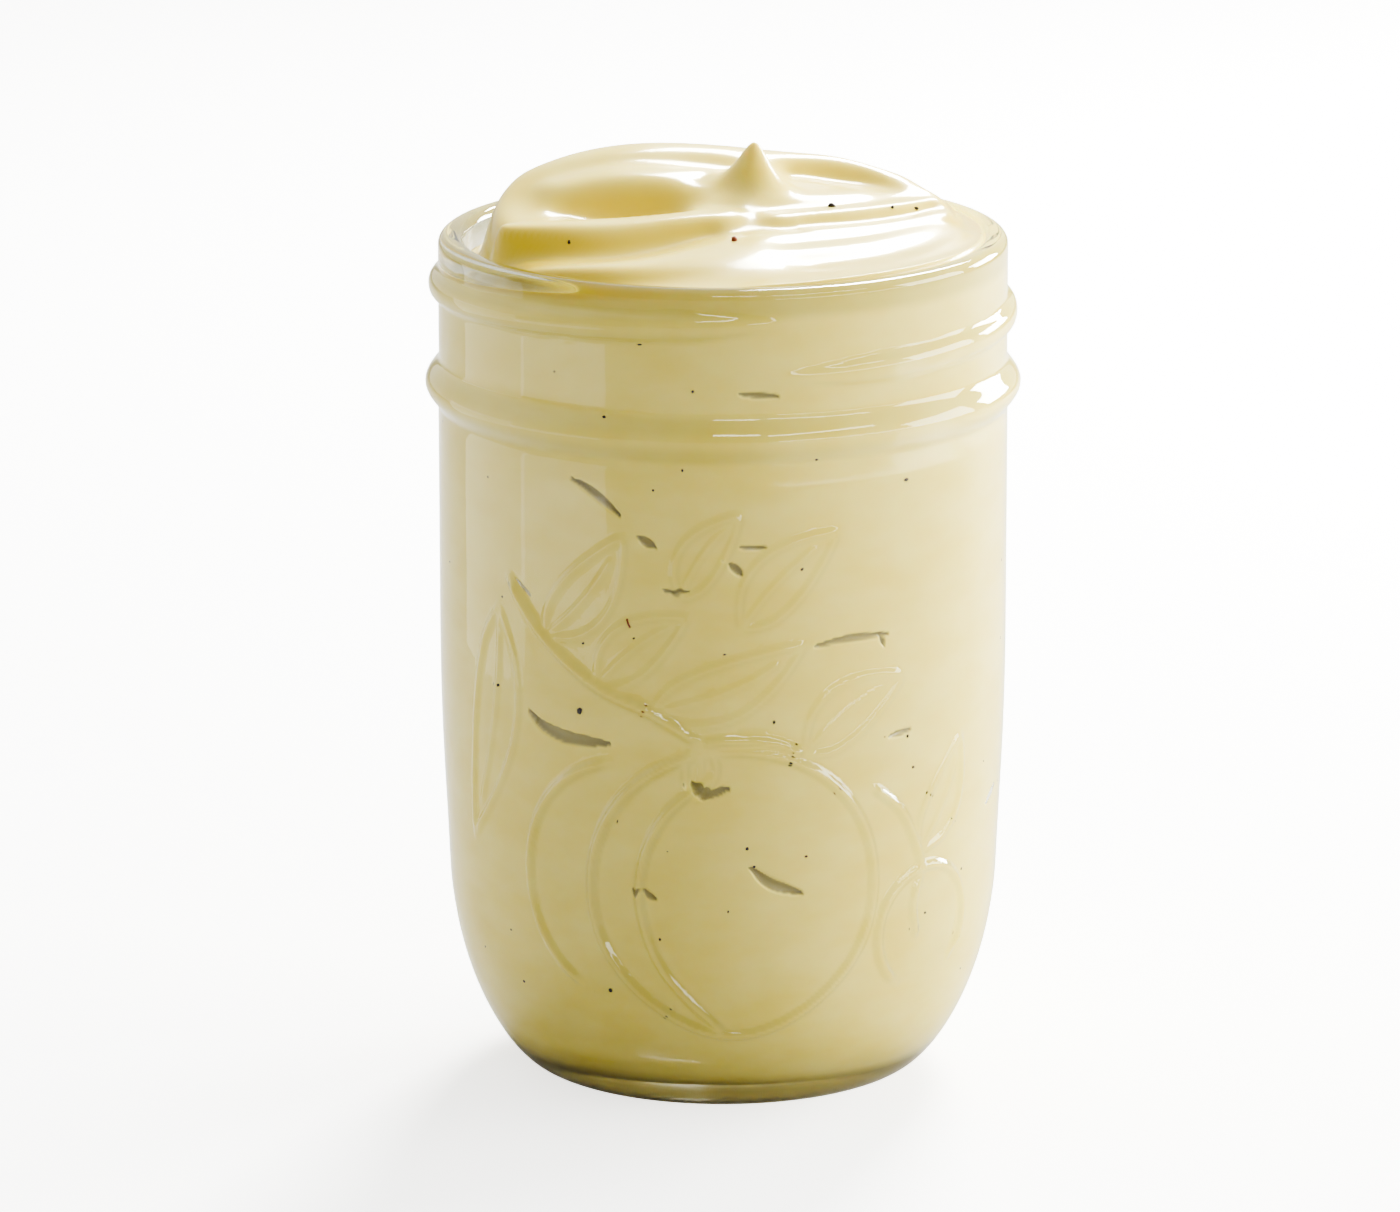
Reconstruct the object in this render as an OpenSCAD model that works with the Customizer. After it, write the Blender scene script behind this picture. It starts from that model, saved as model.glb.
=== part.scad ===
// A half-pint screw-top preserving jar of clear moulded glass, filled to the brim with
// mayonnaise that a spoon has swirled into a heap above the rim.
// Units are millimetres. +Z is up, -Y is the front, and the origin is the centre of the
// foot ring, on the surface that the jar stands on.

/* [Jar] */
// Height of the glass, from the foot ring to the top of the rim
jar_h = 99.5; // [85:0.5:125]
// Widest diameter of the body, just under the neck
body_d = 66.5; // [58:0.5:80]
// How far the flank leans in from the body's widest part down to the heel
flank_in = 0.95; // [0:0.05:3]
// Height at which the heel meets the flank
heel_h = 24; // [18:0.5:30]
// Outer diameter of the ring that the jar stands on
foot_d = 43.8; // [36:0.2:50]
// Width of the ring that the jar stands on
foot_w = 3.4; // [2:0.1:6]
// Height of the hollow under the base
push_up = 1.2; // [0.4:0.1:2]
// Thickness of the glass floor, measured from the foot ring
floor_t = 4.2; // [3:0.1:7]
// Thickness of the body wall
wall_t = 2.6; // [1.5:0.1:4]

/* [Neck] */
// Outer diameter of the neck between its rings
neck_d = 66.5; // [56:0.5:80]
// Thickness of the glass in the neck
neck_wall_t = 3.1; // [2:0.1:5]
// Drop from the rim to the crest of the ring below the thread
bead_drop = 17.4; // [15:0.1:24]
// How far the ring below the thread stands out from the neck
bead_out = 1.6; // [0.8:0.1:2.4]
// Height of the ring below the thread
bead_h = 6; // [3:0.1:7]
// Rise of the thread in one turn
thread_pitch = 6.35; // [5:0.05:7]
// How far the thread stands out from the neck
thread_out = 1.15; // [0.6:0.05:1.6]
// Width of the thread where it leaves the neck
thread_w = 3.4; // [2:0.1:4]
// Drop from the rim to the middle of the thread at its upper end
thread_drop = 3.9; // [3:0.1:5]
// Turns of the thread
thread_turns = 1.02; // [0.5:0.01:1.5]

/* [Mayonnaise] */
// Height of the heap's highest crest above the rim
heap_h = 8.8; // [4:0.1:14]
// Drop from the rim to the edge of the heap, on average
edge_drop = 1.25; // [0.8:0.05:3]
// How far the heap's edge tilts up to the right and down to the left
edge_tilt = 1.85; // [0:0.05:2.5]
// Height of the pulled tip above the heap round it
tip_h = 5.6; // [0:0.1:8]

/* [Hidden] */

round_fn = 180; // sides of the turned shapes
sink = 0.6; // how far the thread's root lies inside the neck
lip_r = 1.2; // rounding of the rim
curve_n = 14; // straight pieces in each moulded curve
heap_rings = 26; // rings in the heap's surface
heap_sides = 90; // points in each ring
stroke_n = 4; // straight pieces between two points of a stroke

body_r = body_d / 2;
heel_r = body_r - flank_in;
foot_r = foot_d / 2;
neck_r = neck_d / 2;
mouth_r = neck_r - neck_wall_t;
cavity_r = body_r - wall_t;
bead_z = jar_h - bead_drop;
neck_z = bead_z - bead_h / 2; // where the neck meets the shoulder
shoulder_z = neck_z - max(1, abs(body_r - neck_r)); // where the shoulder meets the body
fill_z = jar_h - edge_drop - edge_tilt - 1.2; // flat top of the turned filling, under the heap

// Points of a cubic Bezier curve
function bezier(p, n = curve_n) = [
  for (i = [0:n])
    let (t = i / n, s = 1 - t)
      s * s * s * p[0] + 3 * s * s * t * p[1] + 3 * s * t * t * p[2] + t * t * t * p[3]
];

// Points of an arc about c, from angle a0 to a1
function arc(c, r, a0, a1, n = 8) = [
  for (i = [0:n])
    let (a = a0 + (a1 - a0) * i / n)
      c + r * [cos(a), sin(a)]
];

// Smooth step from 0 at a to 1 at b
function ease(a, b, x) =
  let (t = min(1, max(0, (x - a) / (b - a))))
    t * t * (3 - 2 * t);

// Outside of the jar, from the foot ring to the rim
heel_pull = [3.1, 14]; // lengths of the heel curve's handles at the foot and at the flank
flank_h = 30; // height over which the flank leans out from the heel
function outer_wall() = concat(
  bezier([
    [foot_r, 0],
    [foot_r + heel_pull[0], 0],
    [heel_r - flank_in / 2, heel_h - heel_pull[1]],
    [heel_r, heel_h]
  ]),
  bezier([
    [heel_r, heel_h],
    [heel_r + flank_in * 0.4, heel_h + flank_h / 3],
    [body_r, heel_h + flank_h / 2],
    [body_r, heel_h + flank_h]
  ], 6),
  [[body_r, shoulder_z]],
  [
    for (i = [0:curve_n])
      let (a = 360 * i / curve_n)
        [neck_r + bead_out * (1 - cos(a)) / 2, neck_z + bead_h * i / curve_n]
  ],
  arc([neck_r - lip_r, jar_h - lip_r], lip_r, 0, 90)
);

// Inside of the jar, from the rim down to the middle of the floor
function inner_wall() = concat(
  arc([mouth_r + lip_r, jar_h - lip_r], lip_r, 90, 180),
  cavity_neck(),
  cavity_floor()
);

// Inside of the shoulder, where the cavity widens from the neck to the body
function cavity_neck() = [[mouth_r, neck_z], [cavity_r, shoulder_z - 2]];

// Foot of the cavity: the inside of the heel and the floor
function cavity_floor() = bezier([
  [heel_r - wall_t, heel_h],
  [heel_r - wall_t - flank_in / 2, heel_h - heel_pull[1]],
  [foot_r + 2, floor_t],
  [foot_r - 3, floor_t]
]);

// Clear glass jar with its screw thread
module jar() {
  color([0.86, 0.9, 0.86, 0.35])
    union() {
      rotate_extrude($fn = round_fn)
        polygon(concat(
          [[0, push_up], [foot_r - foot_w - push_up, push_up], [foot_r - foot_w, 0]],
          outer_wall(),
          inner_wall(),
          [[0, floor_t]]
        ));
      thread();
    }
}

// Screw thread: one rounded ridge that rises to the right and fades out at both ends
thread_steps = 110;
thread_fade = 26; // degrees over which each end fades into the neck
thread_from = 8; // degrees from the front, towards the right, where it starts
// Across the thread: share of its width, and share of its height, or below 0 for its root
thread_section = [[-0.6, -1], [-0.27, 0.62], [-0.09, 0.97], [0.09, 0.97], [0.27, 0.62], [0.6, -1]];
module thread() {
  sweep = 360 * thread_turns;
  end_z = jar_h - thread_drop;
  m = len(thread_section);
  points = [
    for (i = [0:thread_steps])
      let (
        turned = sweep * i / thread_steps,
        a = thread_from + turned - 90,
        fade = ease(0, thread_fade, turned) * ease(0, thread_fade, sweep - turned),
        z = end_z - thread_pitch * (sweep - turned) / 360
      )
        for (p = thread_section)
          let (
            crest = -sink / 2 + p[1] * (thread_out + sink / 2) * fade,
            r = neck_r + (p[1] > 0 ? crest : -sink)
          )
            [r * cos(a), r * sin(a), z + p[0] * thread_w * (0.4 + 0.6 * fade)]
  ];
  sides = [
    for (i = [0:thread_steps - 1], j = [0:m - 1])
      [i * m + j, i * m + (j + 1) % m, (i + 1) * m + (j + 1) % m, (i + 1) * m + j]
  ];
  ends = [
    [for (j = [m - 1:-1:0]) j],
    [for (j = [0:m - 1]) thread_steps * m + j]
  ];
  polyhedron(points, concat(sides, ends), convexity = 10);
}

// Strokes of the spoon: the crests and hollows that it left, each a line through points of
// x, y and height above the rim. They are stated for a mouth of radius swirl_r and a highest
// crest of height swirl_h. Each is [softness, weight, points].
swirl_r = 30.15;
swirl_h = 8.8;
STROKES = [
  // the lobe that folds over from the left, round the back, to the right
  [2.2, 2.2, [
    [-25, -8.5, 3.1], [-24.8, -1, 4.3], [-20.5, 5.5, 7.2], [-11.5, 8, 8.8], [-2.7, 9.5, 8.5],
    [6.5, 11.5, 7.3], [14.8, 12.5, 6.7], [20.6, 10, 5.2], [23.5, 5.5, 3.8]
  ]],
  // its belly
  [2.2, 1.8, [[-20.5, 0.5, 5.9], [-13.5, 1.8, 7.2], [-6.5, 2.4, 7.1], [-1, 4, 6.5]]],
  // the hollow that it leaves on the left
  [1, 1, [[-18.5, -6.6, 3], [-15, -7.2, 2], [-10, -7.2, 1.7], [-5.5, -6.8, 2.8]]],
  // the crest in front of that hollow
  [0.6, 1.2, [
    [-25.5, -10.5, 3], [-19, -10.8, 3.4], [-12, -10.3, 3.7], [-5, -9.3, 4.1], [0.5, -7.5, 4.2]
  ]],
  // the foot of the concave face in front of the crest
  [1.4, 1, [
    [-25, -14.5, -0.6], [-19, -17, -0.1], [-12, -17.5, 0.1], [-6, -15.5, 0.9], [-1, -13, 2]
  ]],
  // the low outer crest
  [1.2, 1, [
    [-24, -17.5, -0.5], [-15.5, -20.8, 0.5], [-8.5, -20.2, 1], [-2.7, -17.5, 1.7],
    [4.3, -13, 2.4], [9, -10.5, 2.3]
  ]],
  // the level ground round the tip
  [2.2, 1.2, [[1, -3.5, 4.7], [6, -3, 4.8], [11, -0.5, 4.7], [16.5, 3, 4.3]]],
  [2.2, 1.2, [[-3, 0.5, 5.6], [1.5, 4.5, 5.9]]],
  // the step on the right, and the groove below it
  [1, 1.1, [[5.5, -8, 3.8], [14.8, -4, 3.7], [20.5, 0.2, 3.5], [24, 4.5, 3.2]]],
  [0.9, 1, [[9.5, -10, 2.5], [16, -6.6, 2.3], [21.5, -2.2, 2.2], [25.2, 2, 2.2]]],
  // the slope from there to the rim
  [2.4, 1.4, [[7, -16, 1.6], [14, -12.5, 1.5], [20, -7.5, 1.5], [25.2, -2, 1.5]]],
  [2, 1.2, [[10, -22.5, 0.2], [18.5, -18, 0.4], [25, -10, 0.6], [28, -2, 0.9]]],
  // the hollow behind the tip on the right
  [1.2, 1, [[8.5, 7.2, 5], [13, 8, 4.1], [17, 7.6, 3.7], [19.8, 5.5, 3.6]]],
  // the back: a terrace, and the groove above it
  [1.2, 1, [
    [26, 8, 1.8], [20, 16.5, 2.4], [9, 22, 2.2], [-5, 22.5, 2.6], [-16, 17.5, 2.8],
    [-23.5, 9.5, 1.8]
  ]],
  [1.2, 1, [[21.5, 13.5, 1.9], [9, 18.6, 2.2], [-5, 18.8, 3.2], [-14, 15.2, 3.3]]]
];
tip_at = [3.7, 0] * mouth_r / swirl_r;
tip_r = 2.7; // how far from its middle the tip runs out

// Point of a smooth curve through the points p, a share t of the way from point i to the next
function through(p, i, t) =
  let (
    b = p[i],
    c = p[i + 1],
    a = i > 0 ? p[i - 1] : 2 * b - c,
    d = i + 2 < len(p) ? p[i + 2] : 2 * c - b
  )
    b + ((c - a) * t + (2 * a - 5 * b + 4 * c - d) * t * t + (3 * b - a - 3 * c + d) * t * t * t) / 2;

// Short pieces of all strokes, in this jar's own size: [x, y, height, pull, softness squared]
PIECES = [
  for (s = STROKES, i = [0:len(s[2]) - 2], k = [0:stroke_n - 1])
    let (
      wide = mouth_r / swirl_r,
      from = through(s[2], i, k / stroke_n),
      to = through(s[2], i, (k + 1) / stroke_n),
      middle = (from + to) / 2
    )
      [
        middle[0] * wide, middle[1] * wide, middle[2] * heap_h / swirl_h,
        s[1] * wide * norm([to[0] - from[0], to[1] - from[1]]), s[0] * s[0]
      ]
];
HEIGHTS = [for (p = PIECES) p[2]];
ONES = [for (p = PIECES) 1];

// Height above the rim at which the heap meets the glass, at an angle from +X
function edge_level(a) = -edge_drop + edge_tilt * cos(a) - 0.35 * sin(a) - 0.6 * cos(2 * a);

// Height of the heap's surface above the ground: every piece of a stroke pulls the skin to its
// own height, harder the nearer it is, and so does the edge
function heap_z(x, y) =
  let (
    pulls = [
      for (p = PIECES)
        let (gap = pow(x - p[0], 2) + pow(y - p[1], 2) + p[4])
          p[3] / (gap * gap)
    ],
    edge_pull = 1.9 / pow(max(0, mouth_r - norm([x, y])) + 0.35, 3),
    edge_z = edge_level(atan2(y, x)),
    skin = (pulls * HEIGHTS + edge_pull * edge_z) / (pulls * ONES + edge_pull),
    off = norm([x - tip_at[0], y - tip_at[1]])
  )
    jar_h + skin + tip_h * exp(-pow(off / tip_r, 1.7));

// Mayonnaise: the filling that the glass shapes, and the heap above it
module mayonnaise() {
  color([0.92, 0.86, 0.66])
    union() {
      rotate_extrude($fn = round_fn)
        polygon(concat(
          [[0, fill_z], [mouth_r, fill_z]],
          cavity_neck(),
          cavity_floor(),
          [[0, floor_t]]
        ));
      heap();
    }
}

// The heap: a surface of rings about the tip, closed by a side and a flat underside that lies
// within the filling
heap_gap = 0.02; // clearance of the heap's many-sided edge from the glass
module heap() {
  n = heap_sides;
  function spot(share, a) = tip_at * (1 - share) + (mouth_r - heap_gap) * share * [cos(a), sin(a)];
  top = [
    for (k = [1:heap_rings], j = [0:n - 1])
      let (p = spot(k / heap_rings, 360 * j / n))
        [p[0], p[1], heap_z(p[0], p[1])]
  ];
  under = [
    for (j = [0:n - 1])
      let (p = spot(1, 360 * j / n))
        [p[0], p[1], fill_z - 1]
  ];
  points = concat([[tip_at[0], tip_at[1], heap_z(tip_at[0], tip_at[1])]], top, under);
  crown = [for (j = [0:n - 1]) [0, 1 + (j + 1) % n, 1 + j]];
  skin = [
    for (k = [0:heap_rings - 1], j = [0:n - 1])
      let (
        a = 1 + k * n + j,
        b = 1 + k * n + (j + 1) % n
      )
        each [[a, b, a + n], [b, b + n, a + n]]
  ];
  floor_face = [[for (j = [0:n - 1]) 1 + heap_rings * n + j]];
  polyhedron(points, concat(crown, skin, floor_face), convexity = 6);
}

jar();
mayonnaise();
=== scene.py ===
"""Looks of a screw-top preserving jar filled with mayonnaise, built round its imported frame.

The jar is moulded glass with a screw thread, a ring below the thread and a raised sprig of
fruit and leaves. The mayonnaise fills it and is swirled into a heap above the rim. +Z is up
and -Y is the front. Lengths are in millimetres, and a mesh is brought to metres as its last
step. An angle round the jar is measured in degrees from the front towards the right.
"""

import logging
import math
from contextlib import contextmanager
from dataclasses import dataclass, field
from enum import Enum
from typing import Iterator, Sequence

import bpy
import numpy as np
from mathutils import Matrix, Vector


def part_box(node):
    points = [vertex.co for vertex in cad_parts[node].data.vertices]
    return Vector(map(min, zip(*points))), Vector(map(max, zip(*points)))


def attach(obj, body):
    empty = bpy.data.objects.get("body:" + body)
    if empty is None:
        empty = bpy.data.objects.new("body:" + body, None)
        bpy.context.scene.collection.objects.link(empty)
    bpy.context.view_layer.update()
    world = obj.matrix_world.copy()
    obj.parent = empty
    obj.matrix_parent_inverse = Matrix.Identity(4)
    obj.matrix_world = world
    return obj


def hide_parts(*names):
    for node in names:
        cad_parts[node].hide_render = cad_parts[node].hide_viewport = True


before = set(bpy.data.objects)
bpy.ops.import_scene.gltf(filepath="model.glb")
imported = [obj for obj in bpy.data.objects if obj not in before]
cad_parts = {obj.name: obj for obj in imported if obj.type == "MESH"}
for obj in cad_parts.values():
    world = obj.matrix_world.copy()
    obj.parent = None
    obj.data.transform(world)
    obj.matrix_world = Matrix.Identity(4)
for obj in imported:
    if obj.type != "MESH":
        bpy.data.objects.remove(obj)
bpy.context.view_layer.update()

MM = 0.001
TO_MM = 1000.0
INSIDE_BOX = 0.02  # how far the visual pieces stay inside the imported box, in mm
LOG = logging.getLogger("mayonnaise_jar")

Point = tuple[float, ...]
Colour = tuple[float, float, float]


# --- Shapes worked out in numbers -------------------------------------------------------------


def ease(low: float, high: float, x: np.ndarray) -> np.ndarray:
    """Steps smoothly from 0 at low to 1 at high.

    Args:
        low: Where the step starts.
        high: Where the step ends.
        x: Values to step at.

    Returns:
        The step's height at each value.
    """
    t = np.clip((np.asarray(x, float) - low) / (high - low), 0.0, 1.0)
    return t * t * (3.0 - 2.0 * t)


def bezier(handles: Sequence[Point], count: int) -> list[Point]:
    """Points of a cubic Bezier curve.

    Args:
        handles: The curve's four control points.
        count: How many straight pieces the curve is cut into.

    Returns:
        Points from the first handle to the last.
    """
    corners = np.array(handles, float)
    t = np.linspace(0.0, 1.0, count + 1)[:, None]
    s = 1.0 - t
    line = s**3 * corners[0] + 3 * s * s * t * corners[1] + 3 * s * t * t * corners[2] + t**3 * corners[3]
    return [tuple(point) for point in line]


def arc(centre: Point, radius: float, start: float, end: float, count: int) -> list[Point]:
    """Points of an arc in a profile, with its angles in degrees."""
    turns = np.radians(np.linspace(start, end, count + 1))
    return [(centre[0] + radius * math.cos(a), centre[1] + radius * math.sin(a)) for a in turns]


def smooth_line(points: Sequence[Point], per_span: int = 8) -> np.ndarray:
    """Runs a Catmull-Rom curve through points.

    Args:
        points: Points that the curve passes through, each with any number of values.
        per_span: Straight pieces between two neighbouring points.

    Returns:
        The curve's points as rows.
    """
    knots = np.array(points, float)
    padded = np.vstack([2 * knots[0] - knots[1], knots, 2 * knots[-1] - knots[-2]])
    rows = []
    for i in range(len(knots) - 1):
        a, b, c, d = padded[i : i + 4]
        t = np.linspace(0.0, 1.0, per_span, endpoint=False)[:, None]
        squared = (2 * a - 5 * b + 4 * c - d) * t**2
        cubed = (3 * b - a - 3 * c + d) * t**3
        rows.append(0.5 * (2 * b + (c - a) * t + squared + cubed))
    rows.append(knots[-1:])
    return np.vstack(rows)


def near_line(x: np.ndarray, y: np.ndarray, line: np.ndarray) -> tuple[np.ndarray, np.ndarray]:
    """Finds how far points of a plane are from a line of straight pieces.

    Args:
        x: First coordinates of the points.
        y: Second coordinates of the points.
        line: Rows whose first two values are the line's corners.

    Returns:
        The distance of each point, and the share of the line's length at its nearest place.
    """
    best = np.full(x.shape, 1e9)
    share = np.zeros(x.shape)
    steps = np.linalg.norm(np.diff(line[:, :2], axis=0), axis=1)
    reach = np.concatenate([[0.0], np.cumsum(steps)])
    for i, step in enumerate(steps):
        a = line[i, :2]
        along = (line[i + 1, :2] - a) / max(step, 1e-9)
        t = np.clip((x - a[0]) * along[0] + (y - a[1]) * along[1], 0.0, step)
        gap = np.hypot(x - a[0] - t * along[0], y - a[1] - t * along[1])
        nearer = gap < best
        best = np.where(nearer, gap, best)
        share = np.where(nearer, (reach[i] + t) / reach[-1], share)
    return best, share


def angle_round(x: np.ndarray, y: np.ndarray) -> np.ndarray:
    """Angle round the jar in degrees, from the front towards the right."""
    return np.degrees(np.arctan2(x, -y))


# --- Modelling as by hand -----------------------------------------------------------------------


def deselect_all() -> None:
    """Leaves nothing selected, in object mode."""
    if bpy.context.object is not None and bpy.context.object.mode != "OBJECT":
        bpy.ops.object.mode_set(mode="OBJECT")
    bpy.ops.object.select_all(action="DESELECT")


def make_active(piece: bpy.types.Object) -> None:
    """Selects one piece alone and makes it active.

    Args:
        piece: The piece to work on.
    """
    deselect_all()
    piece.select_set(True)
    bpy.context.view_layer.objects.active = piece


@contextmanager
def editing(piece: bpy.types.Object, pick: np.ndarray | None = None) -> Iterator[None]:
    """Holds a piece in edit mode.

    Args:
        piece: The piece to edit.
        pick: Which of its faces are selected, or None for all of the mesh.

    Yields:
        Nothing. Edit mode ends with the block.
    """
    make_active(piece)
    bpy.ops.object.mode_set(mode="EDIT")
    bpy.ops.mesh.select_mode(type="VERT" if pick is None else "FACE")
    bpy.ops.mesh.select_all(action="SELECT" if pick is None else "DESELECT")
    if pick is not None:
        bpy.ops.object.mode_set(mode="OBJECT")
        piece.data.polygons.foreach_set("select", pick.astype(bool))
        bpy.ops.object.mode_set(mode="EDIT")
    try:
        yield
    finally:
        bpy.ops.object.mode_set(mode="OBJECT")


def corners_of(piece: bpy.types.Object) -> np.ndarray:
    """Coordinates of a piece's vertices, one row each.

    Args:
        piece: The piece to read.

    Returns:
        Rows of x, y and z.
    """
    flat = np.empty(len(piece.data.vertices) * 3)
    piece.data.vertices.foreach_get("co", flat)
    return flat.reshape(-1, 3)


def place_corners(piece: bpy.types.Object, rows: np.ndarray) -> None:
    """Moves every vertex of a piece to the row given for it."""
    piece.data.vertices.foreach_set("co", rows.astype(float).ravel())
    piece.data.update()


def face_centres(piece: bpy.types.Object) -> np.ndarray:
    """Middles of a piece's faces, one row each.

    Args:
        piece: The piece to read.

    Returns:
        Rows of x, y and z.
    """
    flat = np.empty(len(piece.data.polygons) * 3)
    piece.data.polygons.foreach_get("center", flat)
    return flat.reshape(-1, 3)


def turned(name: str, profile: Sequence[Point], columns: int) -> bpy.types.Object:
    """Turns a profile about the jar's axis into a closed shell.

    Args:
        name: The new piece's name.
        profile: Radius and height of each corner, both ends on the axis.
        columns: Faces round the jar.

    Returns:
        The new piece, still in millimetres.
    """
    deselect_all()
    bpy.ops.mesh.primitive_plane_add(size=1.0)
    piece = bpy.context.object
    piece.name = name
    with editing(piece):
        bpy.ops.mesh.merge(type="CENTER")
        bpy.ops.transform.translate(value=(profile[0][0], 0.0, profile[0][1]))
        for (r0, z0), (r1, z1) in zip(profile, profile[1:]):
            bpy.ops.mesh.extrude_region_move(
                TRANSFORM_OT_translate={"value": (r1 - r0, 0.0, z1 - z0)}
            )
        bpy.ops.mesh.select_all(action="SELECT")
        bpy.ops.mesh.spin(
            steps=columns, angle=2 * math.pi, center=(0.0, 0.0, 0.0), axis=(0.0, 0.0, 1.0)
        )
        bpy.ops.mesh.select_all(action="SELECT")
        bpy.ops.mesh.remove_doubles(threshold=1e-4)
        bpy.ops.mesh.normals_make_consistent(inside=False)
    return piece


def subdivide_faces(piece: bpy.types.Object, pick: np.ndarray, cuts: int) -> None:
    """Cuts the picked faces of a piece into smaller ones.

    Args:
        piece: The piece to cut.
        pick: Which of its faces are cut.
        cuts: Cuts across each edge.
    """
    if pick.any():
        with editing(piece, pick):
            bpy.ops.mesh.subdivide(number_cuts=cuts, smoothness=0.0)


def write_attribute(piece: bpy.types.Object, name: str, values: np.ndarray) -> None:
    """Stores one number for each vertex of a piece, for its material to read."""
    layer = piece.data.attributes.new(name=name, type="FLOAT", domain="POINT")
    layer.data.foreach_set("value", values.astype(np.float32))


def finish_piece(
    piece: bpy.types.Object, node: str | None, material: bpy.types.Material
) -> None:
    """Brings a piece to metres, smooths and dresses it, and ties it to the frame.

    Args:
        piece: The piece, in millimetres.
        node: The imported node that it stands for, if any.
        material: What it is made of.
    """
    with editing(piece):
        bpy.ops.transform.resize(value=(MM, MM, MM), center_override=(0.0, 0.0, 0.0))
    make_active(piece)
    bpy.ops.object.transform_apply(location=True, rotation=True, scale=True)
    bpy.ops.object.shade_smooth()
    piece.data.materials.clear()
    piece.data.materials.append(material)
    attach(piece, "root")
    if node is not None:
        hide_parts(node)


# --- Node trees ---------------------------------------------------------------------------------


class Wire:
    """A shader socket that arithmetic can be written on."""

    def __init__(self, book: "NodeBook", socket: bpy.types.NodeSocket) -> None:
        """Wraps one output socket of a node tree."""
        self.book = book
        self.socket = socket

    def _maths(self, operation: str, *values: "Wire | float") -> "Wire":
        """Adds one Math node over its inputs."""
        return self.book.node("ShaderNodeMath", {"operation": operation}, dict(enumerate(values)))

    def __add__(self, other: "Wire | float") -> "Wire":
        """Adds."""
        return self._maths("ADD", self, other)

    def __sub__(self, other: "Wire | float") -> "Wire":
        """Subtracts."""
        return self._maths("SUBTRACT", self, other)

    def __rsub__(self, other: float) -> "Wire":
        """Subtracts from a number."""
        return self._maths("SUBTRACT", other, self)

    def __mul__(self, other: "Wire | float") -> "Wire":
        """Multiplies."""
        return self._maths("MULTIPLY", self, other)

    __radd__ = __add__
    __rmul__ = __mul__


class NodeBook:
    """The node tree of one material or of the world."""

    def __init__(self, owner: bpy.types.Material | bpy.types.World) -> None:
        """Empties the owner's tree and keeps it.

        Args:
            owner: The material or world whose nodes are written.
        """
        owner.use_nodes = True
        self.tree = owner.node_tree
        self.tree.nodes.clear()

    def node(
        self,
        kind: str,
        settings: dict[str, object],
        sockets: dict[str | int, object],
        output: str | int = 0,
    ) -> Wire:
        """Adds a node.

        Args:
            kind: The node's Blender type.
            settings: Its own properties, set first. "stops" gives a ramp's places and colours.
            sockets: Values or wires for its inputs, by name or number.
            output: The output that is handed back.

        Returns:
            The node's output as a wire.
        """
        made = self.tree.nodes.new(kind)
        for key, value in settings.items():
            if key == "stops":
                self._set_stops(made.color_ramp, value)
            else:
                setattr(made, key, value)
        for key, value in sockets.items():
            if isinstance(value, Wire):
                self.tree.links.new(value.socket, made.inputs[key])
            else:
                made.inputs[key].default_value = value
        return Wire(self, made.outputs[output]) if made.outputs else Wire(self, made.inputs[0])

    @staticmethod
    def _set_stops(ramp: bpy.types.ColorRamp, stops: Sequence[tuple[float, float]]) -> None:
        """Gives a ramp its stops, each a place and a grey level.

        Args:
            ramp: The ramp of a colour ramp node.
            stops: Place and grey level of each stop, in order.
        """
        while len(ramp.elements) < len(stops):
            ramp.elements.new(0.5)
        for element, (place, level) in zip(ramp.elements, stops):
            element.position = place
            element.color = (level, level, level, 1.0)

    def here(self) -> Wire:
        """The shaded point in the piece's own coordinates, in metres."""
        return self.node("ShaderNodeTexCoord", {}, {}, "Object")

    def noise(self, size_mm: float, detail: float = 2.0, stretch: Point = (1.0, 1.0, 1.0)) -> Wire:
        """Cloudy noise over the piece.

        Args:
            size_mm: Width of a cloud.
            detail: Octaves of finer noise in it.
            stretch: How much finer the noise is along each axis.

        Returns:
            Noise from 0 to 1.
        """
        place = self.node("ShaderNodeMapping", {}, {"Vector": self.here(), "Scale": stretch})
        return self.node(
            "ShaderNodeTexNoise", {}, {"Vector": place, "Scale": TO_MM / size_mm, "Detail": detail}
        )

    def ramp(self, value: Wire, stops: Sequence[tuple[float, float]]) -> Wire:
        """Bends a value through a ramp of grey levels."""
        return self.node("ShaderNodeValToRGB", {"stops": stops}, {0: value})

    def attribute(self, name: str) -> Wire:
        """A number stored on the piece's vertices."""
        return self.node("ShaderNodeAttribute", {"attribute_name": name}, {}, "Fac")

    def blend(self, share: Wire, first: "Wire | Colour", second: "Wire | Colour") -> Wire:
        """Mixes two colours by a share from 0 to 1.

        Args:
            share: How much of the second colour there is.
            first: The colour at 0.
            second: The colour at 1.

        Returns:
            The mixed colour.
        """
        ends = [end if isinstance(end, Wire) else (*end, 1.0) for end in (first, second)]
        return self.node(
            "ShaderNodeMix", {"data_type": "RGBA"}, {0: share, 6: ends[0], 7: ends[1]}, 2
        )

    def bump(self, height: Wire, depth_mm: float) -> Wire:
        """A normal that follows small heights on the surface.

        Args:
            height: Heights from 0 to 1 over the surface.
            depth_mm: The height that 1 stands for.

        Returns:
            The bent normal.
        """
        return self.node(
            "ShaderNodeBump", {}, {"Height": height, "Distance": depth_mm * MM, "Strength": 1.0}, "Normal"
        )

    def surface(self, sockets: dict[str | int, object]) -> None:
        """Adds the Principled shader and joins it to the output."""
        shader = self.node("ShaderNodeBsdfPrincipled", {}, sockets)
        self.node("ShaderNodeOutputMaterial", {}, {"Surface": shader})


# --- Finishes -----------------------------------------------------------------------------------


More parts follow.
